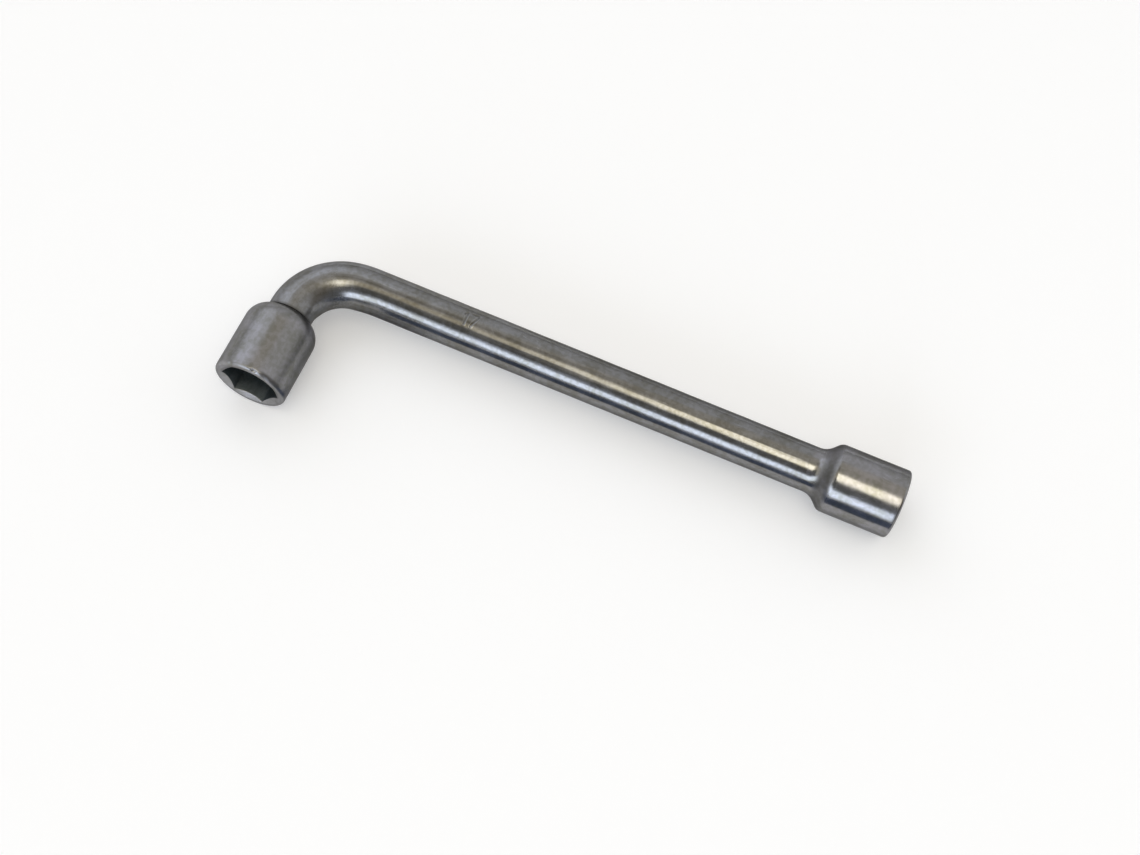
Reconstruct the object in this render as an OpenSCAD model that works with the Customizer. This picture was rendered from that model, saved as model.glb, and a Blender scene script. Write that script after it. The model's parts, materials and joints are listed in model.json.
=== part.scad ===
// Angled socket wrench: a bent steel bar that carries a hex socket on each end.
// Sizes are in millimetres. The wrench lies flat: the bar runs along +X, the elbow
// socket opens towards -Y, and the origin is under the middle of the whole tool.

/* [Overall] */
// From the elbow socket's axis to the straight socket's end face
reach = 208; // [160:1:300]
// Length of the elbow socket, from its seat on the bar to its end face
elbow_len = 27.8; // [23:0.1:40]
// Length of the straight socket, from its seat on the bar to its end face
end_len = 32; // [26:0.1:50]

/* [Bar] */
// Diameter of the bar
bar_d = 15.4; // [12.8:0.1:18.5]
// Radius of the bend at the bar's centreline
bend_r = 18.2; // [15:0.1:30]
// Straight stretch between the bend and the elbow socket
neck_len = 2.5; // [1:0.1:10]
// Broken edge of the bar where it meets the elbow socket
neck_break = 0.35; // [0.1:0.05:0.6]

/* [Spigot joints] */
// Diameter of the turned spigot on each end of the bar
spigot_d = 10.5; // [8:0.1:11.5]
// Length of each spigot
spigot_len = 6; // [4:0.1:8]
// Radial brazing gap between a spigot and its bore
braze_gap = 0.05; // [0.02:0.01:0.1]
// Free space past the end of a spigot
spigot_end_gap = 0.3; // [0.1:0.1:0.5]
// Least steel between a spigot's bore and the socket's hollow
web = 3; // [2:0.1:4]

/* [Hex drive] */
// Size across the flats of the nuts that the tool turns
nut_af = 17; // [14:0.1:21]
// Play between a nut and the socket, across the flats
nut_play = 0.2; // [0.05:0.05:0.4]
// Depth of the hex in the elbow socket
elbow_hex_depth = 11; // [8:0.1:14]
// Depth of the hex in the straight socket
end_hex_depth = 13; // [10:0.1:17]
// Turn of the elbow socket's hex about its axis, in degrees
elbow_hex_turn = -9; // [-30:1:30]
// Turn of the straight socket's hex about its axis, in degrees
end_hex_turn = 30; // [-30:1:30]
// How much smaller than the flats the stud bore's radius is
stud_bore_step = 1; // [0.5:0.1:2]
// Height of the tapered bottom of each stud bore
bore_taper = 1.5; // [0.5:0.1:2]
// Radius of the flat in the tapered bottom
bore_flat_r = 3.5; // [1:0.1:5]
// How far the lead-in cone reaches past the hex's corners
lead_in_margin = 0.3; // [0.1:0.1:0.5]
// Slope of the lead-in cone from the end face, in degrees
lead_in_slope = 32; // [20:1:45]

/* [Socket walls] */
// Wall of the elbow socket at the hex's corners
elbow_wall = 2.4; // [2:0.1:3.5]
// Wall of the straight socket at the hex's corners
end_wall = 1.8; // [1.5:0.1:4]
// Radius of the elbow socket's domed shoulder
elbow_dome_r = 7; // [5:0.1:9]
// Plain stub between the bar and the straight socket's flare
end_stub = 1.7; // [0.5:0.1:4]
// Radius of the hollow between the stub and the flare
flare_hollow_r = 6; // [3:0.1:7]
// Radius of the rounded edge between the flare and the straight socket
flare_round_r = 3.5; // [2:0.1:4]
// Slope of the flare from the bar's axis, in degrees
flare_slope = 45; // [35:1:55]
// Rounded outer edge of the elbow socket's end face
elbow_rim_r = 1.2; // [0.5:0.1:1.5]
// Rounded outer edge of the straight socket's end face
end_rim_r = 1; // [0.5:0.1:1.1]

/* [Hidden] */
$fn = 96;

bar_r = bar_d / 2;
spigot_r = spigot_d / 2;
hex_flat_r = (nut_af + nut_play) / 2;
hex_corner_r = hex_flat_r / cos(30);
stud_bore_r = hex_flat_r - stud_bore_step;
elbow_r = hex_corner_r + elbow_wall;
end_r = hex_corner_r + end_wall;
neck_y = bend_r + neck_len;
drop = neck_y + elbow_len;
bar_end_x = reach - end_len;
// How far a cut runs past the face that it opens
bleed = 1;
// A rounding arc is this much larger than its name, so it meets its two faces at a slight angle
arc_overrun = 1.01;
// Most of the flare's step that its two radii may take up
flare_share = 0.9;

// Middle of the tool's box, seen from the crossing of the two axes
mid_x = (reach - elbow_r) / 2;
mid_y = (max(end_r, bar_r) - drop) / 2;
axis_height = max(elbow_r, end_r);

// Moves a piece from the crossing of the two axes to the tool's own origin
module on_tool() {
    translate([-mid_x, -mid_y, axis_height]) children();
}

// Turns a piece made along +Z to lie along the elbow socket's axis, from the socket's seat
module along_elbow() {
    translate([0, -neck_y, 0]) rotate([90, 0, 0]) children();
}

// Turns a piece made along +Z to lie along the bar, from the straight socket's seat
module along_bar() {
    translate([bar_end_x, 0, 0]) rotate([0, 90, 0]) children();
}

// What a rounding leaves of the box between two corners, seen in half section
module box_less_arc(low, high, centre, r) {
    difference() {
        translate(low) square(high - low);
        translate(centre) circle(r * arc_overrun);
    }
}

// Half section of a rounded rim's waste, for a barrel of radius r that ends at height h
module rim_waste(r, h, rim_r) {
    centre = [r - rim_r, h - rim_r];
    box_less_arc(centre, [r + bleed, h + bleed], centre, rim_r);
}

// Half section of the elbow socket: a domed shoulder that starts at the bar, then the barrel
module elbow_section() {
    dome_in = elbow_r - elbow_dome_r;
    dome_z = sqrt(pow(elbow_dome_r * arc_overrun, 2) - pow(bar_r - dome_in, 2));
    difference() {
        square([elbow_r, elbow_len]);
        box_less_arc([dome_in, -bleed], [elbow_r + bleed, dome_z], [dome_in, dome_z], elbow_dome_r);
        rim_waste(elbow_r, elbow_len, elbow_rim_r);
    }
}

// Half section of the straight socket: a stub, a hollow, a flare and the barrel
module straight_section() {
    step = end_r - bar_r;
    curl = 1 - cos(flare_slope);
    half_turn = tan(flare_slope / 2);
    run = [sin(flare_slope), cos(flare_slope)];
    // both radii shrink together where the step is too low for them
    fit = min(1, flare_share * step / ((flare_hollow_r + flare_round_r) * curl));
    hollow_r = fit * flare_hollow_r;
    round_r = fit * flare_round_r;
    // corners of the flare before they are rounded
    foot = [bar_r, end_stub + hollow_r * half_turn];
    brow = foot + [step, step / tan(flare_slope)];
    hollow_centre = foot + [hollow_r, -hollow_r * half_turn];
    round_centre = brow + [-round_r, round_r * half_turn];
    difference() {
        union() {
            polygon([[0, 0], [bar_r, 0], foot, brow, [end_r, end_len], [0, end_len]]);
            box_less_arc([0, end_stub], foot + hollow_r * half_turn * run, hollow_centre, hollow_r);
        }
        box_less_arc(brow - round_r * half_turn * run, [end_r + bleed, round_centre[1]], round_centre, round_r);
        rim_waste(end_r, end_len, end_rim_r);
    }
}

// Everything cut out of a socket: spigot bore, tapered stud bore, hex and lead-in cone
module socket_hollow(len, hex_depth, hex_turn) {
    bore_end = spigot_len + spigot_end_gap;
    flat_z = bore_end + web;
    hex_z = len - hex_depth;
    lead_in_h = (hex_corner_r + lead_in_margin) * tan(lead_in_slope);
    cone_h = lead_in_h + bleed;
    translate([0, 0, -bleed]) cylinder(h = bore_end + bleed, r = spigot_r + braze_gap);
    rotate_extrude() polygon([
        [0, flat_z],
        [bore_flat_r, flat_z],
        [stud_bore_r, flat_z + bore_taper],
        [stud_bore_r, hex_z + bleed],
        [0, hex_z + bleed]
    ]);
    translate([0, 0, hex_z]) rotate([0, 0, hex_turn])
        cylinder(h = hex_depth + bleed, r = hex_corner_r, $fn = 6);
    translate([0, 0, len - lead_in_h]) cylinder(h = cone_h, r1 = 0, r2 = cone_h / tan(lead_in_slope));
}

// A round stretch of the bar with its spigot, made along +Z from 0; edge is its broken edge
module bar_stretch(len, edge) {
    rotate_extrude() polygon([
        [0, 0],
        [bar_r, 0],
        [bar_r, len - edge],
        [bar_r - edge, len],
        [spigot_r, len],
        [spigot_r, len + spigot_len],
        [0, len + spigot_len]
    ]);
}

module bent_bar() {
    color("darkgray") on_tool() {
        translate([bend_r, 0, 0]) rotate([0, 90, 0]) bar_stretch(bar_end_x - bend_r, 0);
        translate([0, -bend_r, 0]) rotate([90, 0, 0]) bar_stretch(neck_len, neck_break);
        // quarter bend
        translate([bend_r, -bend_r, 0]) rotate([0, 0, 90])
            rotate_extrude(angle = 90) translate([bend_r, 0]) circle(bar_r);
    }
}

module elbow_socket() {
    color("gray") on_tool() along_elbow() difference() {
        rotate_extrude() elbow_section();
        socket_hollow(elbow_len, elbow_hex_depth, elbow_hex_turn);
    }
}

module straight_socket() {
    color("silver") on_tool() along_bar() difference() {
        rotate_extrude() straight_section();
        socket_hollow(end_len, end_hex_depth, end_hex_turn);
    }
}

bent_bar();
elbow_socket();
straight_socket();
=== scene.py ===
import json
import math
import bpy
import numpy as np
from mathutils import Matrix, Vector


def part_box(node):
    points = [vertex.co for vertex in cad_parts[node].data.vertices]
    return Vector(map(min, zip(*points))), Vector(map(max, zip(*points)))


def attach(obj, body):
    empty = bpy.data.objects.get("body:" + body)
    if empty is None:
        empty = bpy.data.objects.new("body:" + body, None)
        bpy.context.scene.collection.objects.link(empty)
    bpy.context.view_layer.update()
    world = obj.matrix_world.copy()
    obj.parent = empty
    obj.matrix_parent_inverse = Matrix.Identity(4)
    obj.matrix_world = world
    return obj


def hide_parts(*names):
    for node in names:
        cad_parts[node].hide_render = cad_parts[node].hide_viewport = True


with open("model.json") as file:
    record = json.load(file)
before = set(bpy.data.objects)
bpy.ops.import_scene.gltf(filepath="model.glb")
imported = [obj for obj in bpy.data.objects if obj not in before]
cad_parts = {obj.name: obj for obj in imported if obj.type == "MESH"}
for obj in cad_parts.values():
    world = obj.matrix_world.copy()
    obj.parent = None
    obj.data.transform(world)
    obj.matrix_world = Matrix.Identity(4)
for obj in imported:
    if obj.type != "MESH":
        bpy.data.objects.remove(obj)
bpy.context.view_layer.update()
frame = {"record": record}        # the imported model: its boxes place everything below
mm = 0.001               # sizes are in millimetres, meshes in metres

# Places that the frame gives
barLow, barHigh = np.array(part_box("bent_bar")) / mm
elbowLow, elbowHigh = np.array(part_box("elbow_socket")) / mm
straightLow, straightHigh = np.array(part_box("straight_socket")) / mm
mounts = {mount["name"]: mount for mount in frame["record"]["mounts"]}
barRadius = (barHigh[2] - barLow[2]) / 2
elbowRadius = (elbowHigh[0] - elbowLow[0]) / 2
straightRadius = (straightHigh[1] - straightLow[1]) / 2
elbowAxisX = (elbowHigh[0] + elbowLow[0]) / 2
barAxisY = (straightHigh[1] + straightLow[1]) / 2
axisHeight = (elbowHigh[2] + elbowLow[2]) / 2
elbowSeatY = elbowHigh[1]
straightSeatX = straightLow[0]
elbowLength = elbowHigh[1] - elbowLow[1]
straightLength = straightHigh[0] - straightLow[0]
spigotLength = barHigh[0] - straightSeatX
print("frame: bar radius %.2f, sockets %.2f and %.2f mm" % (barRadius, elbowRadius, straightRadius))


# Camera, at the photograph's viewing angle
cameraView = {
    "elevation": 64.44,                      # degrees above the floor
    "yaw": 10.96,                            # degrees round to the right
    "roll": 12.37,                           # degrees
    "distance": 480.0,
    "aim": (2.36, -0.59, 12.33),
    "lens": 46.61,
    "sensor": 36.0,
}


def makeCamera(view):
    up, side, roll = (math.radians(view[key]) for key in ("elevation", "yaw", "roll"))
    back = Vector((math.sin(side) * math.cos(up), -math.cos(side) * math.cos(up), math.sin(up)))
    right = Vector((math.cos(side), math.sin(side), 0))
    above = back.cross(right)
    rolledRight = right * math.cos(roll) + above * math.sin(roll)
    rolledUp = above * math.cos(roll) - right * math.sin(roll)
    data = bpy.data.cameras.new("camera")
    data.lens = view["lens"]
    data.sensor_width = view["sensor"]
    camera = bpy.data.objects.new("camera", data)
    bpy.context.scene.collection.objects.link(camera)
    place = Matrix((rolledRight, rolledUp, back)).transposed().to_4x4()
    place.translation = (Vector(view["aim"]) + back * view["distance"]) * mm
    camera.matrix_world = place
    bpy.context.scene.camera = camera


makeCamera(cameraView)
print("camera: set")


# Shared helpers for surfaces
def smooth(x, low, high):
    # S curve: 0 below low, 1 above high
    t = np.clip((x - low) / (high - low), 0, 1)
    return t * t * (3 - 2 * t)


def unevenness(grain, along, across, seed, count=24):
    # sum of seeded plane waves, about this long along and across the piece, scaled to unit spread
    rng = np.random.default_rng(seed)
    waves = rng.normal(size=(count, 3)) * 2 * np.pi / np.array([along, across, across])
    phase = rng.uniform(0, 2 * np.pi, count)
    return np.sin(grain @ waves.T + phase).sum(axis=-1) * math.sqrt(2 / count)


def runningTotal(values, x):
    # area under the values from the first x to each x
    return np.concatenate([[0], np.cumsum((values[1:] + values[:-1]) / 2 * np.diff(x))])


def spacedValues(low, high, step, fineStep, fineLow, fineHigh, blend, samples=4001):
    # values from low to high whose spacing shrinks from step to fineStep between fineLow and fineHigh
    x = np.linspace(low, high, samples)
    inFine = smooth(x, fineLow - blend, fineLow) * (1 - smooth(x, fineHigh, fineHigh + blend))
    total = runningTotal(1 / (step + (fineStep - step) * inFine), x)
    return np.interp(np.linspace(0, total[-1], int(math.ceil(total[-1])) + 1), total, x)


def closedSurface(name, points, bandMaterial, attributes, materials, sharpFold=40):
    # rows x columns x 3 points; the columns meet round the piece, and each end row closes on its middle
    # edges that fold by more than sharpFold degrees stay sharp
    rows, columns = points.shape[:2]
    first = np.arange(rows * columns).reshape(rows, columns)
    second = np.roll(first, -1, axis=1)
    pole = rows * columns
    quads = np.stack([first[:-1], second[:-1], second[1:], first[1:]], axis=-1).reshape(-1, 4)
    startFan = np.stack([second[0], first[0], np.full(columns, pole)], axis=-1)
    endFan = np.stack([first[-1], second[-1], np.full(columns, pole + 1)], axis=-1)
    corners = np.concatenate([quads.ravel(), startFan.ravel(), endFan.ravel()])
    sizes = np.concatenate([np.full(len(quads), 4), np.full(2 * columns, 3)])
    starts = np.cumsum(sizes) - sizes
    faceMaterial = np.repeat(np.concatenate([bandMaterial, bandMaterial[[0, -1]]]), columns)

    def withPoles(values):
        ends = values[[0, -1]].mean(axis=1)
        return np.concatenate([values.reshape(pole, -1), ends.reshape(2, -1)]).astype(np.float32).ravel()

    mesh = bpy.data.meshes.new(name)
    mesh.vertices.add(pole + 2)
    mesh.vertices.foreach_set("co", withPoles(points * mm))
    mesh.loops.add(len(corners))
    mesh.loops.foreach_set("vertex_index", corners.astype(np.int32))
    mesh.polygons.add(len(sizes))
    mesh.polygons.foreach_set("loop_start", starts.astype(np.int32))
    mesh.polygons.foreach_set("material_index", faceMaterial.astype(np.int32))
    mesh.update(calc_edges=True)
    mesh.validate()
    mesh.shade_smooth()
    mesh.set_sharp_from_angle(angle=math.radians(sharpFold))
    for label, values in attributes.items():
        isVector = values.ndim == 3
        layer = mesh.attributes.new(label, "FLOAT_VECTOR" if isVector else "FLOAT", "POINT")
        layer.data.foreach_set("vector" if isVector else "value", withPoles(values))
    for material in materials:
        mesh.materials.append(material)
    piece = bpy.data.objects.new(name, mesh)
    bpy.context.scene.collection.objects.link(piece)
    return piece


def standFor(piece, node):
    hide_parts(node)
    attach(piece, "root")
    print("piece: %s, %d faces" % (piece.name, len(piece.data.polygons)))


# Node helpers
def addNode(tree, kind, inputs, **settings):
    node = tree.nodes.new(kind)
    for key, value in settings.items():
        setattr(node, key, value)
    for socket, value in inputs.items():
        if isinstance(value, bpy.types.NodeSocket):
            tree.links.new(value, node.inputs[socket])
        else:
            node.inputs[socket].default_value = value
    return node


def newGroup(name, inputs, outputs):
    group = bpy.data.node_groups.new(name, "ShaderNodeTree")
    for label, kind, value in inputs:
        socket = group.interface.new_socket(label, in_out="INPUT", socket_type=kind)
        socket.default_value = value
    for label, kind in outputs:
        group.interface.new_socket(label, in_out="OUTPUT", socket_type=kind)
    source = group.nodes.new("NodeGroupInput")
    sink = group.nodes.new("NodeGroupOutput")
    return group, source.outputs, sink.inputs


def useGroup(tree, group, inputs):
    return addNode(tree, "ShaderNodeGroup", inputs, node_tree=group).outputs


def calculate(tree, operation, a, b=0.0):
    return addNode(tree, "ShaderNodeMath", {0: a, 1: b}, operation=operation).outputs[0]


def addShare(tree, base, value, share):
    return calculate(tree, "ADD", base, calculate(tree, "MULTIPLY", value, share))


def remap(tree, value, fromLow, fromHigh, toLow=0.0, toHigh=1.0):
    # S curve from one range of values to another
    inputs = {
        "Value": value, "From Min": fromLow, "From Max": fromHigh, "To Min": toLow, "To Max": toHigh,
    }
    return addNode(tree, "ShaderNodeMapRange", inputs, interpolation_type="SMOOTHSTEP").outputs[0]


def between(tree, value, edges):
    # 0 outside the four edges, 1 between the inner two, S curves from edge to edge
    start, full, fading, end = edges
    rising = remap(tree, value, start, full)
    falling = remap(tree, value, fading, end, 1.0, 0.0)
    return calculate(tree, "MULTIPLY", rising, falling)


def mixColour(tree, amount, a, b):
    inputs = {0: amount, 6: a, 7: b}
    return addNode(tree, "ShaderNodeMix", inputs, data_type="RGBA").outputs[2]


def multiplied(tree, vector, by):
    return addNode(tree, "ShaderNodeVectorMath", {0: vector, 1: by}, operation="MULTIPLY").outputs[0]


def noiseValue(tree, place, scale, detail, roughness=0.5):
    inputs = {"Vector": place, "Scale": scale, "Detail": detail, "Roughness": roughness}
    return addNode(tree, "ShaderNodeTexNoise", inputs).outputs[0]


# Soft clouds in the plating, between 0 and 1: noise about Size mm across
cloudNoise = {"detail": 4.0, "range": (0.32, 0.68)}


def makeCloudGroup(part):
    group, given, out = newGroup(
        "platingCloud",
        [("Grain", "NodeSocketVector", (0, 0, 0)), ("Size", "NodeSocketFloat", 10.0)],
        [("Cloud", "NodeSocketFloat")],
    )
    scale = calculate(group, "DIVIDE", 1.0, given["Size"])
    noise = noiseValue(group, given["Grain"], scale, part["detail"])
    group.links.new(remap(group, noise, *part["range"]), out["Cloud"])
    return group


# Fine lines left by polishing or cutting, between 0 and 1: noise drawn out by Stretch, in cycles per mm
lineNoise = {"detail": 3.0, "roughness": 0.6, "range": (0.25, 0.75)}


def makeLineGroup(part):
    group, given, out = newGroup(
        "toolLines",
        [("Grain", "NodeSocketVector", (0, 0, 0)), ("Stretch", "NodeSocketVector", (1, 1, 1))],
        [("Lines", "NodeSocketFloat")],
    )
    drawn = multiplied(group, given["Grain"], given["Stretch"])
    noise = noiseValue(group, drawn, 1.0, part["detail"], part["roughness"])
    group.links.new(remap(group, noise, *part["range"]), out["Lines"])
    return group


# Hairline scratches: thin level lines of a drawn-out noise, kept only where a second noise is high
scratchNoise = {
    "detail": 1.0, "level": 0.5, "width": 0.006,
    "patchScale": 0.21, "patchDetail": 2.0, "patchEdge": (0.5, 0.62),
}


def makeScratchGroup(part):
    group, given, out = newGroup(
        "hairScratches",
        [("Grain", "NodeSocketVector", (0, 0, 0)), ("Stretch", "NodeSocketVector", (1, 1, 1)),
         ("Width", "NodeSocketFloat", part["width"])],
        [("Scratch", "NodeSocketFloat")],
    )
    drawn = multiplied(group, given["Grain"], given["Stretch"])
    noise = noiseValue(group, drawn, 1.0, part["detail"])
    offLevel = calculate(group, "ABSOLUTE", calculate(group, "SUBTRACT", noise, part["level"]))
    line = remap(group, offLevel, 0.0, given["Width"], 1.0, 0.0)
    patch = noiseValue(group, given["Grain"], part["patchScale"], part["patchDetail"])
    kept = remap(group, patch, *part["patchEdge"])
    group.links.new(calculate(group, "MULTIPLY", line, kept), out["Scratch"])
    return group


# Pinholes in the plating: a small round spot in each cell, kept where the cell's random grey is high
pinholeCells = {"spacing": 1.5, "radius": 0.12, "kept": 0.62}


def makePitGroup(part):
    group, given, out = newGroup(
        "pinholes",
        [("Grain", "NodeSocketVector", (0, 0, 0)), ("Spacing", "NodeSocketFloat", part["spacing"]),
         ("Radius", "NodeSocketFloat", part["radius"])],
        [("Pit", "NodeSocketFloat")],
    )
    scale = calculate(group, "DIVIDE", 1.0, given["Spacing"])
    cells = addNode(group, "ShaderNodeTexVoronoi", {"Vector": given["Grain"], "Scale": scale}).outputs
    spot = remap(group, cells["Distance"], 0.0, given["Radius"], 1.0, 0.0)
    kept = calculate(group, "GREATER_THAN", cells["Color"], part["kept"])
    group.links.new(calculate(group, "MULTIPLY", spot, kept), out["Pit"])
    return group


cloudGroup = makeCloudGroup(cloudNoise)
lineGroup = makeLineGroup(lineNoise)
scratchGroup = makeScratchGroup(scratchNoise)
pitGroup = makePitGroup(pinholeCells)

# Finishes. Grain space is the piece's own: x along it, y and z across, in millimetres
# sizes and depths are in mm, stretches in cycles per mm; satin is the roughness that a matt place adds
# the darkest colour of each finish goes on dirt in pinholes and on painted shade
barFinish = {
    "low": (0.184, 0.180, 0.166, 1), "high": (0.264, 0.266, 0.275, 1),
    "shadeAndDirt": (0.055, 0.053, 0.050, 1), "worn": (0.33, 0.33, 0.325, 1),
    "cloudSize": 9.0, "smoothest": 0.155, "roughest": 0.195, "satin": 0.12,
    "lineStretch": (0.03, 2.2, 2.2), "lineDepth": 0.0016, "streakStretch": (0.02, 0.9, 0.9),
    "scratchStretch": (0.05, 0.55, 0.55), "pitDepth": 0.010,
    "speckleSize": 1.4, "speckle": 0.24, "pebble": 0.0003,
}
socketFinish = {
    "low": (0.206, 0.205, 0.190, 1), "high": (0.310, 0.306, 0.326, 1),
    "shadeAndDirt": (0.055, 0.053, 0.052, 1), "worn": (0.46, 0.46, 0.46, 1),
    "cloudSize": 7.0, "smoothest": 0.155, "roughest": 0.20, "satin": 0.14,
    "lineStretch": (2.6, 0.10, 0.10), "lineDepth": 0.0012, "streakStretch": (0.03, 0.33, 0.33),
    "scratchStretch": (0.12, 0.42, 0.42), "pitDepth": 0.010,
    "speckleSize": 1.4, "speckle": 0.18, "pebble": 0.0003,
}
broachedFinish = {
    "low": (0.135, 0.158, 0.168, 1), "high": (0.205, 0.232, 0.244, 1),
    "shadeAndDirt": (0.048, 0.064, 0.070, 1), "worn": (0.26, 0.27, 0.275, 1),
    "cloudSize": 4.0, "smoothest": 0.46, "roughest": 0.58, "satin": 0.0,
    "lineStretch": (0.04, 3.2, 3.2), "lineDepth": 0.012, "streakStretch": (0.03, 1.2, 1.2),
    "scratchStretch": (0.10, 0.9, 0.9), "pitDepth": 0.015,
    "speckleSize": 1.0, "speckle": 0.20, "pebble": 0.0010,
}
# what the three steels share
steelMix = {
    "cloudShare": 0.6, "streakShare": 0.4,   # how the colour's unevenness is made up
    "wornLeast": 0.35, "wornCloud": 0.7,     # wear where there is no cloud, and the cloud that wears in full
    "pitDirt": 0.6,
    "lineRoughness": 0.03, "scratchRoughness": 0.10, "darkenedRoughness": 0.20,
    "edgeTint": (0.42, 0.42, 0.42, 1),
}


def makeSteel(name, finish):
    mix = steelMix
    material = bpy.data.materials.new(name)
    material.use_nodes = True
    tree = material.node_tree
    shader = tree.nodes["Principled BSDF"]

    def painted(label, output):
        return addNode(tree, "ShaderNodeAttribute", {}, attribute_name=label).outputs[output]

    grain = painted("grain", "Vector")
    wear = painted("wear", "Fac")
    shadeAndDirt = painted("shadeAndDirt", "Fac")
    matt = painted("matt", "Fac")
    cloud = useGroup(tree, cloudGroup, {"Grain": grain, "Size": finish["cloudSize"]})["Cloud"]
    speckle = useGroup(tree, cloudGroup, {"Grain": grain, "Size": finish["speckleSize"]})["Cloud"]
    lines = useGroup(tree, lineGroup, {"Grain": grain, "Stretch": finish["lineStretch"]})["Lines"]
    streaks = useGroup(tree, lineGroup, {"Grain": grain, "Stretch": finish["streakStretch"]})["Lines"]
    scratch = useGroup(tree, scratchGroup, {"Grain": grain, "Stretch": finish["scratchStretch"]})["Scratch"]
    pit = useGroup(tree, pitGroup, {"Grain": grain})["Pit"]
    bared = remap(tree, cloud, 0.0, mix["wornCloud"], mix["wornLeast"], 1.0)
    worn = calculate(tree, "MULTIPLY", wear, bared)
    # darkened: dirt in pinholes, and the painted shade and groove darkening that the piece's attribute marks
    darkened = calculate(tree, "MAXIMUM", calculate(tree, "MULTIPLY", pit, mix["pitDirt"]), shadeAndDirt)

    # colour: clouded and finely grained plating, bare metal on edges, dark with dirt in pinholes, with
    # painted shade in creases, hollows, on the flare and on part of the rims, and darker in the stamped
    # groove
    cloudy = calculate(tree, "MULTIPLY", cloud, mix["cloudShare"])
    streaky = addShare(tree, cloudy, streaks, mix["streakShare"])
    fine = remap(tree, speckle, 0.0, 1.0, -finish["speckle"], finish["speckle"])
    uneven = calculate(tree, "ADD", streaky, fine)
    plated = mixColour(tree, uneven, finish["low"], finish["high"])
    edged = mixColour(tree, worn, plated, finish["worn"])
    tree.links.new(mixColour(tree, darkened, edged, finish["shadeAndDirt"]), shader.inputs["Base Color"])

    # roughness: follows the clouds and the lines, higher in scratches, in pinhole dirt and in painted shade
    satin = remap(tree, cloud, 0.0, 1.0, finish["smoothest"], finish["roughest"])
    lined = addShare(tree, satin, lines, mix["lineRoughness"])
    dulled = addShare(tree, lined, matt, finish["satin"])
    marked = addShare(tree, dulled, scratch, mix["scratchRoughness"])
    tree.links.new(addShare(tree, marked, darkened, mix["darkenedRoughness"]), shader.inputs["Roughness"])

    # relief in millimetres: lines and fine grain stand up, pinholes go in
    lineRelief = calculate(tree, "MULTIPLY", lines, finish["lineDepth"])
    raised = addShare(tree, lineRelief, speckle, finish["pebble"])
    sunk = calculate(tree, "MULTIPLY", pit, finish["pitDepth"])
    relief = calculate(tree, "SUBTRACT", raised, sunk)
    bump = addNode(tree, "ShaderNodeBump", {"Height": relief, "Distance": mm, "Strength": 1.0})
    tree.links.new(bump.outputs[0], shader.inputs["Normal"])
    shader.inputs["Metallic"].default_value = 1.0
    shader.inputs["Specular Tint"].default_value = mix["edgeTint"]
    return material


barSteel = makeSteel("barSteel", barFinish)
socketSteel = makeSteel("socketSteel", socketFinish)
broachedSteel = makeSteel("broachedSteel", broachedFinish)
print("materials: three steels")


# Bent bar
bentBar = {
    "neckLength": 2.5,                       # straight run between the elbow seat and the bend
    "neckBreak": 0.35,                       # broken edge at the elbow seat
    "spigotRadius": 5.25,
    "step": 0.95, "fineStep": 0.13,          # row spacing, plain and at the size mark
    "turnStep": 0.38, "turnFineStep": 0.13,  # column spacing, plain and at the size mark
    "stepBlend": 6.0, "turnBlend": 3.0,      # lengths over which the spacings change
    "waviness": 0.012, "waveLength": 26.0, "waveWidth": 15.6, "waveSeed": 3,
    "drawLines": 0.005, "drawLength": 140.0, "drawWidth": 1.7, "drawSeed": 4,
    "endFade": (0.5, 4.0),                   # from each end: where the unevenness starts and is full
    "innerFullness": 0.45,                   # steel crowded to the inside of the bend
    "fullnessFade": 9.0,                     # from each end of the bend: where that is full
    "bendEase": 0.5,                         # share of the bend over which it runs out into the straight
    "pathSamples": 2001,
    "satinEnd": (12.0, 32.0),                # from the elbow seat: where the satin starts to fade, and ends
    # painted shade in the crease at the elbow seat: how dark, and from the seat where it starts to fade and
    # ends
    "seatShade": 0.75, "seatShadeEnd": (0.1, 1.3),
}
sizeMark = {
    "text": "17",
    "place": 56.0,                           # from the elbow socket's axis to the middle of the mark
    "height": 4.6, "pitch": 3.0,
    "fineTurn": 0.62,                        # fine columns to each side of the middle, in digit heights
    "halfStroke": 0.30, "depth": 0.16,
    "slope": (0.16, 0.10),                   # groove's side, inside and outside the stroke's edge
    "lip": 0.025, "lipPlace": 0.28, "lipWidth": 0.15,
    # how much darker the stamped groove is, and how worn its raised lip
    "shadeAndDirt": 0.30, "wear": 0.5,
}
# straight strokes of the two digits, in digit heights about each digit's middle
digitStrokes = {
    "1": [((-0.17, 0.29), (0.06, 0.5)), ((0.06, 0.5), (0.06, -0.5))],
    "7": [((-0.28, 0.5), (0.28, 0.5)), ((0.28, 0.5), (-0.08, -0.5))],
}


def strokeDistance(u, v, start, end):
    # distance from (u, v) to the straight stroke between two points
    (ax, ay), (bx, by) = start, end
    t = np.clip(((u - ax) * (bx - ax) + (v - ay) * (by - ay)) / ((bx - ax) ** 2 + (by - ay) ** 2), 0, 1)
    return np.hypot(u - ax - t * (bx - ax), v - ay - t * (by - ay))


def markDistance(u, v, text):
    # distance from (u, v) to the nearest stroke of a number stamped along u
    nearest = np.full(np.broadcast(u, v).shape, np.inf)
    for index, digit in enumerate(text):
        middle = (index - (len(text) - 1) / 2) * sizeMark["pitch"]
        for start, end in digitStrokes[digit]:
            ends = [(middle + x * sizeMark["height"], y * sizeMark["height"]) for x, y in (start, end)]
            nearest = np.minimum(nearest, strokeDistance(u, v, *ends))
    return nearest


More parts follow.
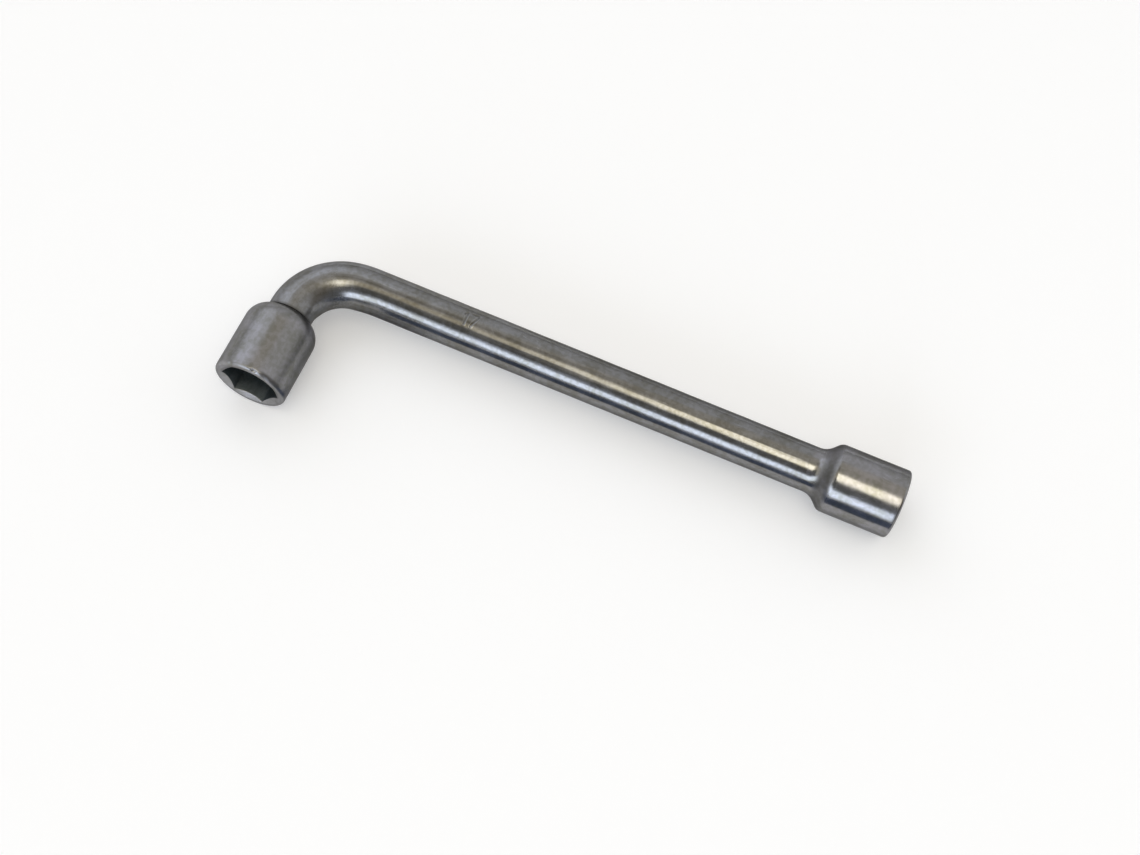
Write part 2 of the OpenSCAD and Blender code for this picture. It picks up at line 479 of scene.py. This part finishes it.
def makeBar(part):
    mark = sizeMark
    neck = part["neckLength"]
    bendRadius = barAxisY - elbowSeatY - neck
    # the bend turns at a steady rate that eases off to nothing in an S curve; it rises by its radius in all
    ease = part["bendEase"]
    along = np.linspace(0, 1 + ease / 2, part["pathSamples"])
    turned = np.pi / 2 * runningTotal(1 - smooth(along, 1 - ease / 2, 1 + ease / 2), along)
    sideways = runningTotal(np.sin(turned), along)
    rise = runningTotal(np.cos(turned), along)
    scale = bendRadius / rise[-1]
    bendLength = scale * along[-1]
    bendReach = scale * sideways[-1]
    length = neck + bendLength + straightSeatX - elbowAxisX - bendReach
    markMiddle = neck + bendLength + mark["place"] - bendReach
    markReach = (mark["pitch"] + mark["height"]) / 2

    # rows: spigot, broken edge, the long run, spigot; columns are crowded under the mark, on top
    spigot = part["spigotRadius"]
    run = spacedValues(part["neckBreak"], length, part["step"], part["fineStep"],
                       markMiddle - markReach, markMiddle + markReach, part["stepBlend"])
    s = np.concatenate([[-spigotLength, 0.0, 0.0], run, [length, length + spigotLength]])
    edge = [spigot, spigot, barRadius - part["neckBreak"]]
    radius = np.concatenate([edge, np.full(len(run), barRadius), [spigot, spigot]])
    halfTurn = np.pi * barRadius
    fineTurn = mark["height"] * mark["fineTurn"]
    around = spacedValues(-halfTurn, halfTurn, part["turnStep"], part["turnFineStep"],
                          -fineTurn, fineTurn, part["turnBlend"])[:-1][::-1]
    angle = np.pi / 2 - around / barRadius
    s, radius = s[:, None], radius[:, None]

    # grain space: the bar pulled straight
    ones = np.ones_like(s * angle)
    across = barRadius * np.stack([np.cos(angle), np.sin(angle)])
    grain = np.stack([s * ones, across[0] * ones, across[1] * ones], axis=-1)
    skin = (radius == barRadius) * ones
    fadeStart, fadeEnd = part["endFade"]
    away = skin * smooth(s, fadeStart, fadeEnd) * (1 - smooth(s, length - fadeEnd, length - fadeStart))
    wave = unevenness(grain, part["waveLength"], part["waveWidth"], part["waveSeed"])
    draw = unevenness(grain, part["drawLength"], part["drawWidth"], part["drawSeed"])
    fade = part["fullnessFade"]
    bendEnd = neck + bendLength
    inBend = smooth(s, neck, neck + fade) * (1 - smooth(s, bendEnd - fade, bendEnd))
    crowded = part["innerFullness"] * inBend * np.clip(-np.cos(angle), 0, 1) ** 2
    stamped = markDistance(s - markMiddle, around * ones, mark["text"]) - mark["halfStroke"]
    groove = 1 - smooth(stamped, -mark["slope"][0], mark["slope"][1])
    lip = np.exp(-((stamped - mark["lipPlace"]) / mark["lipWidth"]) ** 2)
    relief = away * (part["waviness"] * wave + part["drawLines"] * draw + crowded)
    radius = radius + relief + skin * (mark["lip"] * lip - mark["depth"] * groove)

    # profile carried along the path: the bend between two straight runs, s from the elbow seat
    place = np.clip((s - neck) / scale, 0, along[-1])
    turn = np.interp(place, along, turned)
    before = np.minimum(s - neck, 0)
    after = np.maximum(s - bendEnd, 0)
    out = radius * np.cos(angle)
    x = elbowAxisX + scale * np.interp(place, along, sideways) + after - out * np.cos(turn)
    y = elbowSeatY + neck + scale * np.interp(place, along, rise) + before + out * np.sin(turn)
    z = axisHeight + radius * np.sin(angle)
    points = np.stack([x, y, z], axis=-1)
    # painted shade in the crease at the elbow seat
    seatShade = part["seatShade"] * (1 - smooth(s, *part["seatShadeEnd"])) * ones
    attributes = {
        "grain": grain,
        "wear": mark["wear"] * lip * skin,
        # darker in the stamped groove, and painted shade at the elbow seat
        "shadeAndDirt": np.maximum(mark["shadeAndDirt"] * groove * skin, seatShade),
        "matt": (1 - smooth(s, *part["satinEnd"])) * ones,
    }
    return closedSurface("bentBar", points, np.zeros(len(s) - 1), attributes, [barSteel])


standFor(makeBar(bentBar), "bent_bar")


# Sockets
socketHollow = {
    "nutSize": 17.0, "nutPlay": 0.2,         # across the flats
    "cornerRound": 0.35,
    "leadMargin": 0.3, "leadSlope": 32.0,    # lead-in cone: past the hex's corners, degrees from the end face
    "leadRound": 0.40, "entryRound": 0.25,   # rounded edges, going in
    "ledgeRound": 0.3, "boreRound": 0.2,
    "spigotGap": 0.05, "spigotEndGap": 0.3,
    "web": 3.0,                              # steel between the spigot's bore and the stud's
    "taper": 1.5, "flatRadius": 3.5,         # bottom of the stud's bore
    "poleRing": 0.5,                         # innermost ring of points on the bottom of each bore
    "sideColumns": 66, "crowd": 0.78,        # columns for each side of the hex, crowded to its corners
    "leadRows": 6,
}
socketWearAndShade = {
    "rim": 0.28, "lead": 0.35, "entry": 0.5, "cone": 0.22,   # bare metal on each edge, and on the cone
    "lipMatt": 1.2,                          # times the bare metal
    "waveLength": 14.0, "waveWidth": 8.0,
    "seatFade": (0.5, 6.0),                  # from the seat: where the unevenness starts and is full
    "skinMargin": 0.01,                      # only the outside this far past the bar's radius is uneven
    "nickInset": 0.3, "nickReach": 0.5, "nickRows": 8,
    # painted shade: in the crease at the seat, deep in the hollow with less near the mouth, and on part of
    # the rim
    "creaseShade": 0.85, "creaseEnd": (0.05, 1.5),
    "hollowShade": 0.40, "mouthLessShade": 0.35, "mouthDepth": 2.0,
    "shadeRows": (-1, 3, 7),                  # from the rim's first row: where its painted shade starts, fades and ends
}
elbowSocket = {
    "domeRound": 6.9, "domeRise": 19.6,      # shoulder's radius, and its slope where it meets the bar
    "rimRound": 1.2,
    "hexDepth": 11.0, "hexTurn": -9.0,
    "unevenness": 0.020, "seed": 11, "matt": 1.0, "coneMatt": 1.5,
    # nicks in the rim: degrees round it, half width and depth
    "nicks": [(118, 0.7, 0.16), (77, 0.9, 0.42), (58, 1.1, 0.16), (205, 0.6, 0.12)],
    "rimShadeArc": (22, 34, 62, 71),             # the rim's painted shade, in degrees: where it starts, is full, starts to end and ends
    # how dark the rim's painted shade is
    "rimShade": 0.55,
}
straightSocket = {
    "stub": 4.19, "hollowRound": 6.0,        # where the flare starts, and the hollow at its foot
    "flareSlope": 45.0, "browRound": 3.5,
    "flareShade": 0.40, "flareMatt": 0.8,    # painted shade on the flare, and the duller roughness of its forged skin
    "flareStart": (-1.2, 1.0), "flareEnd": (-0.6, 1.2),   # its edges, from the stub's end and the brow
    "rimRound": 1.0,
    "hexDepth": 13.0, "hexTurn": 30.0,
    "unevenness": 0.014, "seed": 12, "matt": 0.0, "coneMatt": 1.5,
    "nicks": [(170, 0.6, 0.10), (20, 0.8, 0.10)],
    # painted shade on part of the rim: degrees where it starts, is full, starts to end and ends, and how dark
    # it is
    "rimShadeArc": (200, 215, 250, 265),
    "rimShade": 0.30,
}


def hexRadius(angle, flat, corner):
    # distance from the axis to a hexagon with rounded corners, whose corners are at each 60 degrees
    fromCorner = np.abs((angle + np.pi / 6) % (np.pi / 3) - np.pi / 6)
    fromFlat = np.pi / 6 - fromCorner
    arcMiddle = (flat - corner) / np.cos(np.pi / 6)
    onArc = flat * np.tan(fromFlat) > (flat - corner) * np.tan(np.pi / 6)
    arcHalf = np.sqrt(np.maximum(corner ** 2 - (arcMiddle * np.sin(fromCorner)) ** 2, 0))
    return np.where(onArc, arcMiddle * np.cos(fromCorner) + arcHalf, flat / np.cos(fromFlat))


def roundedOutline(corners, columns):
    # each corner is (radius, height, rounding, steps to it, steps round it, wear on it)
    # a rounding is a true arc, the rational quadratic curve between its two tangent points
    # radius and height may change round the piece
    points = [np.stack([np.broadcast_to(value, columns) for value in corner[:2]], axis=-1)
              for corner in corners]
    rows, wear, last = [points[0][None]], [np.zeros(1)], points[0]
    for index in range(1, len(corners)):
        rounding, steps, arcSteps, worn = corners[index][2:]
        here = points[index]
        start, end, weight = here, here, np.ones((columns, 1))
        if arcSteps:
            into = here - points[index - 1]
            onward = points[index + 1] - here
            into = into / np.linalg.norm(into, axis=-1, keepdims=True)
            onward = onward / np.linalg.norm(onward, axis=-1, keepdims=True)
            cosTurn = (into * onward).sum(axis=-1, keepdims=True)
            reach = rounding * np.sqrt((1 - cosTurn) / (1 + cosTurn))
            start, end, weight = here - into * reach, here + onward * reach, np.sqrt((1 + cosTurn) / 2)
        t = (np.arange(steps) + 1)[:, None, None] / steps
        rows.append(last + (start - last) * t)
        wear.append(np.zeros(steps))
        if arcSteps:
            t = (np.arange(arcSteps) + 1)[:, None, None] / arcSteps
            a, b, c = (1 - t) ** 2, 2 * t * (1 - t) * weight, t ** 2
            rows.append((a * start + b * here + c * end) / (a + b + c))
            wear.append(worn * np.sin(np.pi * (np.arange(arcSteps) + 0.5) / arcSteps))
        last = end
    return np.concatenate(rows), np.concatenate(wear)


def makeSocket(name, part, outside, length, stud):
    # outline turned about the axis: spigot's bore, outside, rim, lead-in, hex, stud's bore
    hollow = socketHollow
    worn = socketWearAndShade
    sides = np.arange(6 * hollow["sideColumns"]) / hollow["sideColumns"]
    angle = (sides - hollow["crowd"] * np.sin(2 * np.pi * sides) / (2 * np.pi)) * np.pi / 3
    flat = (hollow["nutSize"] + hollow["nutPlay"]) / 2
    hexR = hexRadius(angle, flat, hollow["cornerRound"])
    lead = flat / math.cos(np.pi / 6) + hollow["leadMargin"]
    entry = length - (lead - hexR) * math.tan(math.radians(hollow["leadSlope"]))
    ledge = length - part["hexDepth"]
    boreR = bentBar["spigotRadius"] + hollow["spigotGap"]
    boreEnd = spigotLength + hollow["spigotEndGap"]
    floorZ = boreEnd + hollow["web"]
    corners = [
        (hollow["poleRing"], boreEnd, 0, 0, 0, 0),
        (boreR, boreEnd, 0, 2, 0, 0),
        (boreR, 0, 0, 3, 0, 0),
        *outside,
        (lead, length, hollow["leadRound"], 3, hollow["leadRows"], worn["lead"]),
        (hexR, entry, hollow["entryRound"], 4, 4, worn["entry"]),
        (hexR, ledge, hollow["ledgeRound"], 16, 3, 0),
        (stud, ledge, hollow["boreRound"], 4, 3, 0),
        (stud, floorZ + hollow["taper"], 0, 8, 0, 0),
        (hollow["flatRadius"], floorZ, 0, 4, 0, 0),
        (hollow["poleRing"], floorZ, 0, 3, 0, 0),
    ]
    outline, rowWear = roundedOutline(corners, len(angle))
    radius, height = outline[..., 0], outline[..., 1]
    angle = angle + math.radians(part["hexTurn"])
    rows = np.arange(len(radius))[:, None]
    faceRow = np.argmax(np.isclose(height[:, 0], length))
    wornRows = np.flatnonzero(rowWear)
    rimRow, entryRow = wornRows[0], wornRows[-1]
    entryMiddle = np.argmax(rowWear * (np.arange(len(rowWear)) > faceRow + hollow["leadRows"]))
    isOutside = (radius > barRadius + worn["skinMargin"]) * (rows <= faceRow)
    onCone = (rows > faceRow) * (rows <= entryRow)
    ones = np.ones_like(radius)

    # unevenness and nicks only take steel away
    grain = np.stack([height, radius * np.cos(angle), radius * np.sin(angle)], axis=-1)
    wave = np.clip(unevenness(grain, worn["waveLength"], worn["waveWidth"], part["seed"]) / 2 + 1, 0, 2)
    radius = radius - part["unevenness"] * wave * isOutside * smooth(height, *worn["seatFade"])
    inset = part["rimRound"] * worn["nickInset"]
    edgeZ, edgeR = length - inset, outside[-1][0] - inset
    for place, size, depth in part["nicks"]:
        offset = (angle - math.radians(place) + np.pi) % (2 * np.pi) - np.pi
        inward, outward = (height - edgeZ) / worn["nickReach"], (radius - edgeR) / worn["nickReach"]
        near = ((offset * edgeR) / size) ** 2 + inward ** 2 + outward ** 2
        bite = depth * np.exp(-near) * (rows <= faceRow + worn["nickRows"])
        radius = radius - bite
        height = height - bite
    local = np.stack([radius * np.cos(angle), radius * np.sin(angle), height], axis=-1)

    # painted shade in the crease at the seat, deep in the hollow and along part of the rim
    mouth = smooth(height, ledge, length - worn["mouthDepth"])
    creased = (rows <= faceRow) * (1 - smooth(height, *worn["creaseEnd"]))
    deep = (rows > entryMiddle) * (worn["hollowShade"] - worn["mouthLessShade"] * mouth)
    shadeStart, shadeFade, shadeEnd = (rimRow + row for row in worn["shadeRows"])
    onEdge = (rows >= shadeStart) * (1 - smooth(rows, shadeFade, shadeEnd))
    turned = np.degrees(angle) % 360
    darkened = smooth(turned, *part["rimShadeArc"][:2]) * (1 - smooth(turned, *part["rimShadeArc"][2:]))
    shadeAndDirt = np.maximum(worn["creaseShade"] * creased, deep) * ones
    shadeAndDirt = np.maximum(shadeAndDirt, part["rimShade"] * onEdge * darkened)

    wear = np.maximum(rowWear[:, None], worn["cone"] * onCone) * ones
    matt = part["matt"] + worn["lipMatt"] * rowWear[:, None]
    matt = np.maximum(matt, part["coneMatt"] * onCone) * ones
    bands = (np.arange(len(radius) - 1) >= entryRow).astype(int)
    return name, local, bands, {"grain": grain, "wear": wear, "shadeAndDirt": shadeAndDirt, "matt": matt}


def makeElbowSocket(part):
    domeCorner = (elbowRadius - barRadius) * math.tan(math.radians(part["domeRise"]))
    outside = [
        (barRadius, 0, 0, 3, 0, 0),
        (elbowRadius, domeCorner, part["domeRound"], 1, 22, 0),
        (elbowRadius, elbowLength, part["rimRound"], 30, 10, socketWearAndShade["rim"]),
    ]
    stud = mounts["elbow_stud_bore"]["dims"]["r_mm"]
    name, local, bands, attributes = makeSocket("elbowSocket", part, outside, elbowLength, stud)
    x, y, z = local[..., 0], local[..., 1], local[..., 2]
    points = np.stack([elbowAxisX + x, elbowSeatY - z, axisHeight + y], axis=-1)
    return closedSurface(name, points, bands, attributes, [socketSteel, broachedSteel])


def makeStraightSocket(part):
    step = straightRadius - barRadius
    brow = part["stub"] + step / math.tan(math.radians(part["flareSlope"]))
    outside = [
        (barRadius, 0, 0, 3, 0, 0),
        (barRadius, part["stub"], part["hollowRound"], 4, 12, 0),
        (straightRadius, brow, part["browRound"], 2, 12, 0),
        (straightRadius, straightLength, part["rimRound"], 30, 10, socketWearAndShade["rim"]),
    ]
    stud = mounts["end_stud_bore"]["dims"]["r_mm"]
    name, local, bands, attributes = makeSocket("straightSocket", part, outside, straightLength, stud)
    x, y, z = local[..., 0], local[..., 1], local[..., 2]
    start = [part["stub"] + edge for edge in part["flareStart"]]
    end = [brow + edge for edge in part["flareEnd"]]
    flare = smooth(z, *start) * (1 - smooth(z, *end)) * (np.hypot(x, y) > barRadius)
    # painted shade: none in the seat's crease, and over the flare
    pastStub = attributes["shadeAndDirt"] * (z > part["stub"])
    attributes["shadeAndDirt"] = np.maximum(pastStub, part["flareShade"] * flare)
    attributes["matt"] = np.maximum(attributes["matt"], part["flareMatt"] * flare)
    points = np.stack([straightSeatX + z, barAxisY + y, axisHeight - x], axis=-1)
    return closedSurface(name, points, bands, attributes, [socketSteel, broachedSteel])


standFor(makeElbowSocket(elbowSocket), "elbow_socket")
standFor(makeStraightSocket(straightSocket), "straight_socket")


# Floor
floorPlate = {
    "radius": 6000.0, "sides": 96,
    "rim": 1000.0, "rimRise": 420.0,         # sloping rim round it, which fills the view from low down
    "colour": (0.90, 0.90, 0.90, 1),
    "seen": (1.07, 1.07, 1.07, 1),           # colour to the eye and to the steel, which reads as white
    "lift": 0.22, "lifted": (1, 1, 1, 1),    # share of plain white in it, which shadows leave
}


def makeFloor(part):
    # a flat disc, and a ring of sloping sides from its edge up to the rim
    turn = np.arange(part["sides"]) * 2 * np.pi / part["sides"]
    flat = np.stack([np.cos(turn), np.sin(turn), np.zeros_like(turn)], axis=-1)
    edge = flat * part["radius"]
    top = flat * (part["radius"] + part["rim"]) + np.array([0, 0, part["rimRise"]])
    first = np.arange(part["sides"])
    second = np.roll(first, -1)
    slope = np.stack([first, first + part["sides"], second + part["sides"], second], axis=-1)
    mesh = bpy.data.meshes.new("floor")
    points = np.concatenate([edge, top]) * mm
    mesh.from_pydata(points.tolist(), [], [first.tolist()] + slope.tolist())
    material = bpy.data.materials.new("paleFloor")
    material.use_nodes = True
    tree = material.node_tree
    tree.nodes.remove(tree.nodes["Principled BSDF"])
    path = addNode(tree, "ShaderNodeLightPath", {}).outputs
    mirrored = calculate(tree, "MAXIMUM", path["Is Glossy Ray"], path["Is Transmission Ray"])
    seen = calculate(tree, "MAXIMUM", path["Is Camera Ray"], mirrored)
    colour = mixColour(tree, seen, part["colour"], part["seen"])
    plain = addNode(tree, "ShaderNodeBsdfDiffuse", {"Color": colour}).outputs[0]
    white = addNode(tree, "ShaderNodeEmission", {"Color": part["lifted"]}).outputs[0]
    share = calculate(tree, "MULTIPLY", seen, part["lift"])
    shader = addNode(tree, "ShaderNodeMixShader", {0: share, 1: plain, 2: white})
    tree.links.new(shader.outputs[0], tree.nodes["Material Output"].inputs["Surface"])
    mesh.materials.append(material)
    floor = bpy.data.objects.new("floor", mesh)
    bpy.context.scene.collection.objects.link(floor)


makeFloor(floorPlate)

# Cards that only the steel mirrors: corners go left to right along one edge, then back along the other
# along and across: where each soft edge starts, is full, starts to end and ends, as shares of the card
slateCard = {                                # leans away in front of the bar
    "corners": [(-78.0, -18.6, 0.0), (140.0, -18.6, 0.0), (140.0, -60.0, 17.0), (-92.0, -60.0, 17.0)],
    "along": (0.0, 0.01, 0.99, 1.0), "across": (0.0, 0.08, 0.92, 1.0),
    "colour": (0.13, 0.165, 0.26, 1),
}
crookShadowCard = {                                # lies in the crook of the bend: painted shadow on the floor there, which only the steel mirrors
    "corners": [(-86.0, -26.0, 0.3), (-46.0, -26.0, 0.3), (-46.0, 16.0, 0.3), (-86.0, 16.0, 0.3)],
    "along": (0.0, 0.30, 0.50, 1.0), "across": (0.0, 0.45, 0.85, 1.0),
    "colour": (0.54, 0.55, 0.57, 1),
}
backShadowCard = {                                 # lies behind the bar: painted shadow on the floor there, which only the steel mirrors
    "corners": [(-60.0, 38.0, 0.3), (180.0, 38.0, 0.3), (180.0, 300.0, 0.3), (-60.0, 300.0, 0.3)],
    "along": (0.0, 0.30, 0.95, 1.0), "across": (0.0, 0.08, 0.80, 1.0),
    "colour": (0.58, 0.58, 0.58, 1),
}
litCard = {                                  # hangs high over the bar
    "corners": [(-1520.0, -3000.0, 8000.0), (2350.0, -6550.0, 8000.0),
                (2350.0, -360.0, 8000.0), (-1520.0, 180.0, 8000.0)],
    "along": (0.0, 0.55, 0.66, 1.0), "across": (0.0, 0.22, 0.64, 0.95),
    "light": (4.75, 4.45, 3.65, 1),
}


def makeCard(name, part):
    # a flat sheet whose edges clear away in S curves
    material = bpy.data.materials.new(name)
    material.use_nodes = True
    tree = material.node_tree
    tree.nodes.remove(tree.nodes["Principled BSDF"])
    place = addNode(tree, "ShaderNodeUVMap", {}, uv_map="card").outputs[0]
    split = addNode(tree, "ShaderNodeSeparateXYZ", {0: place}).outputs
    along = between(tree, split["X"], part["along"])
    across = between(tree, split["Y"], part["across"])
    inside = calculate(tree, "MULTIPLY", along, across)
    clear = addNode(tree, "ShaderNodeBsdfTransparent", {}).outputs[0]
    if "light" in part:
        card = addNode(tree, "ShaderNodeEmission", {"Color": part["light"]}).outputs[0]
    else:
        card = addNode(tree, "ShaderNodeBsdfDiffuse", {"Color": part["colour"]}).outputs[0]
    shader = addNode(tree, "ShaderNodeMixShader", {0: inside, 1: clear, 2: card})
    tree.links.new(shader.outputs[0], tree.nodes["Material Output"].inputs["Surface"])
    mesh = bpy.data.meshes.new(name)
    mesh.from_pydata((np.array(part["corners"]) * mm).tolist(), [], [(0, 1, 2, 3)])
    mesh.uv_layers.new(name="card").data.foreach_set("uv", [0, 0, 1, 0, 1, 1, 0, 1])
    mesh.materials.append(material)
    piece = bpy.data.objects.new(name, mesh)
    piece.visible_camera = False
    piece.visible_diffuse = False
    piece.visible_shadow = False
    bpy.context.scene.collection.objects.link(piece)


makeCard("slateCard", slateCard)
makeCard("crookShadowCard", crookShadowCard)
makeCard("backShadowCard", backShadowCard)
makeCard("litCard", litCard)

# Light: a soft lamp overhead that the steel doesn't mirror, and a room of soft patches
overheadLamp = {
    "round": 20, "up": 72, "distance": 2600.0,   # where it hangs, in degrees round to the right and up
    "wide": 40, "high": 40,                  # degrees that it fills
    "aim": (0.0, 0.0, 12.0),
    "colour": (1.0, 0.99, 0.96), "radiance": 1.2,
}
room = {
    "grey": (0.70, 0.70, 0.70, 1),
    "horizon": (0.0, 0.42, 0.53),            # height where it is dimmest, height where it is full, how dim
    "glows": [                               # direction, how near it starts and is full, times as light
        ((-0.64, 0.36, 0.68), 0.83, 0.955, (1.72, 1.77, 1.90)),
        ((0.75, 0.43, 0.50), 0.80, 0.94, (1.20, 1.20, 1.20)),
        ((0.05, 0.25, 0.97), 0.90, 0.985, (1.04, 0.97, 0.84)),
    ],
    # patches: degrees up from the front, where each starts, is full, starts to end and ends
    # then the same for the part of the direction to the right, from -1 to 1
    # lean is how many degrees a patch drops from the middle to the far right
    "patches": [
        {"up": (35, 45, 84, 108), "right": (0.20, 0.30, 1.1, 1.2), "lean": 0,
         "light": (0.215, 0.185, 0.140, 1)},
        {"up": (-91, -90, 36, 46), "right": (0.20, 0.30, 1.1, 1.2), "lean": 0,
         "light": (0.175, 0.180, 0.190, 1)},
        {"up": (26, 32, 60, 68), "right": (-0.42, -0.30, 1.1, 1.2), "lean": 20,
         "light": (0.21, 0.21, 0.21, 1)},
        {"up": (63, 70, 82, 92), "right": (-0.50, -0.22, 0.26, 0.45), "lean": 10,
         "light": (0.92, 0.81, 0.60, 1)},
        {"up": (86, 93, 102, 111), "right": (-0.42, -0.30, -0.12, 0.0), "lean": 10,
         "light": (0.42, 0.385, 0.325, 1)},
        {"up": (40, 58, 76, 92), "right": (-0.70, -0.50, -0.42, -0.25), "lean": 0,
         "light": (1.10, 1.06, 0.94, 1)},
        {"up": (3.5, 8.5, 24.5, 34), "right": (-0.80, -0.40, 0.14, 0.26), "lean": 20,
         "light": (3.05, 3.35, 3.85, 1)},
    ],
}


def makeSoftbox(name, box):
    # a rectangle of light that faces its aim
    side, up = math.radians(box["round"]), math.radians(box["up"])
    out = Vector((math.sin(side) * math.cos(up), -math.cos(side) * math.cos(up), math.sin(up)))
    halfAngles = [math.radians(box[key]) / 2 for key in ("wide", "high")]
    width, height = (2 * box["distance"] * math.tan(half) * mm for half in halfAngles)
    data = bpy.data.lights.new(name, "AREA")
    data.shape = "RECTANGLE"
    data.size = width
    data.size_y = height
    data.color = box["colour"]
    data.energy = box["radiance"] * math.pi * width * height
    lamp = bpy.data.objects.new(name, data)
    lamp.location = (Vector(box["aim"]) + out * box["distance"]) * mm
    lamp.rotation_euler = (-out).to_track_quat("-Z", "Y").to_euler()
    lamp.visible_camera = False
    lamp.visible_glossy = False
    bpy.context.scene.collection.objects.link(lamp)


def makeRoom(part):
    # light by direction: a grey that dims to the horizon, brighter glows in it, and patches over them
    world = bpy.data.worlds.new("room")
    world.use_nodes = True
    tree = world.node_tree
    direction = addNode(tree, "ShaderNodeTexCoord", {}).outputs["Generated"]
    right, away, height = addNode(tree, "ShaderNodeSeparateXYZ", {0: direction}).outputs
    up = calculate(tree, "ARCTAN2", height, calculate(tree, "MULTIPLY", away, -1.0))

    low, full, share = part["horizon"]
    dimmer = [value * share for value in part["grey"][:3]] + [1]
    light = mixColour(tree, remap(tree, height, low, full), dimmer, part["grey"])
    for side, start, full, times in part["glows"]:
        unit = Vector(side).normalized()
        facing = addNode(tree, "ShaderNodeVectorMath", {0: direction, 1: unit}, operation="DOT_PRODUCT")
        near = remap(tree, facing.outputs["Value"], start, full)
        light = mixColour(tree, near, light, multiplied(tree, light, times))
    for patch in part["patches"]:
        leaning = addShare(tree, up, right, math.radians(patch["lean"]))
        rows = between(tree, leaning, [math.radians(edge) for edge in patch["up"]])
        inside = calculate(tree, "MULTIPLY", rows, between(tree, right, patch["right"]))
        light = mixColour(tree, inside, light, patch["light"])
    tree.links.new(light, tree.nodes["Background"].inputs["Color"])
    bpy.context.scene.world = world


makeSoftbox("overheadLamp", overheadLamp)
makeRoom(room)
bpy.context.scene.view_settings.view_transform = "Standard"
print("stage: floor, cards, lamp, room")
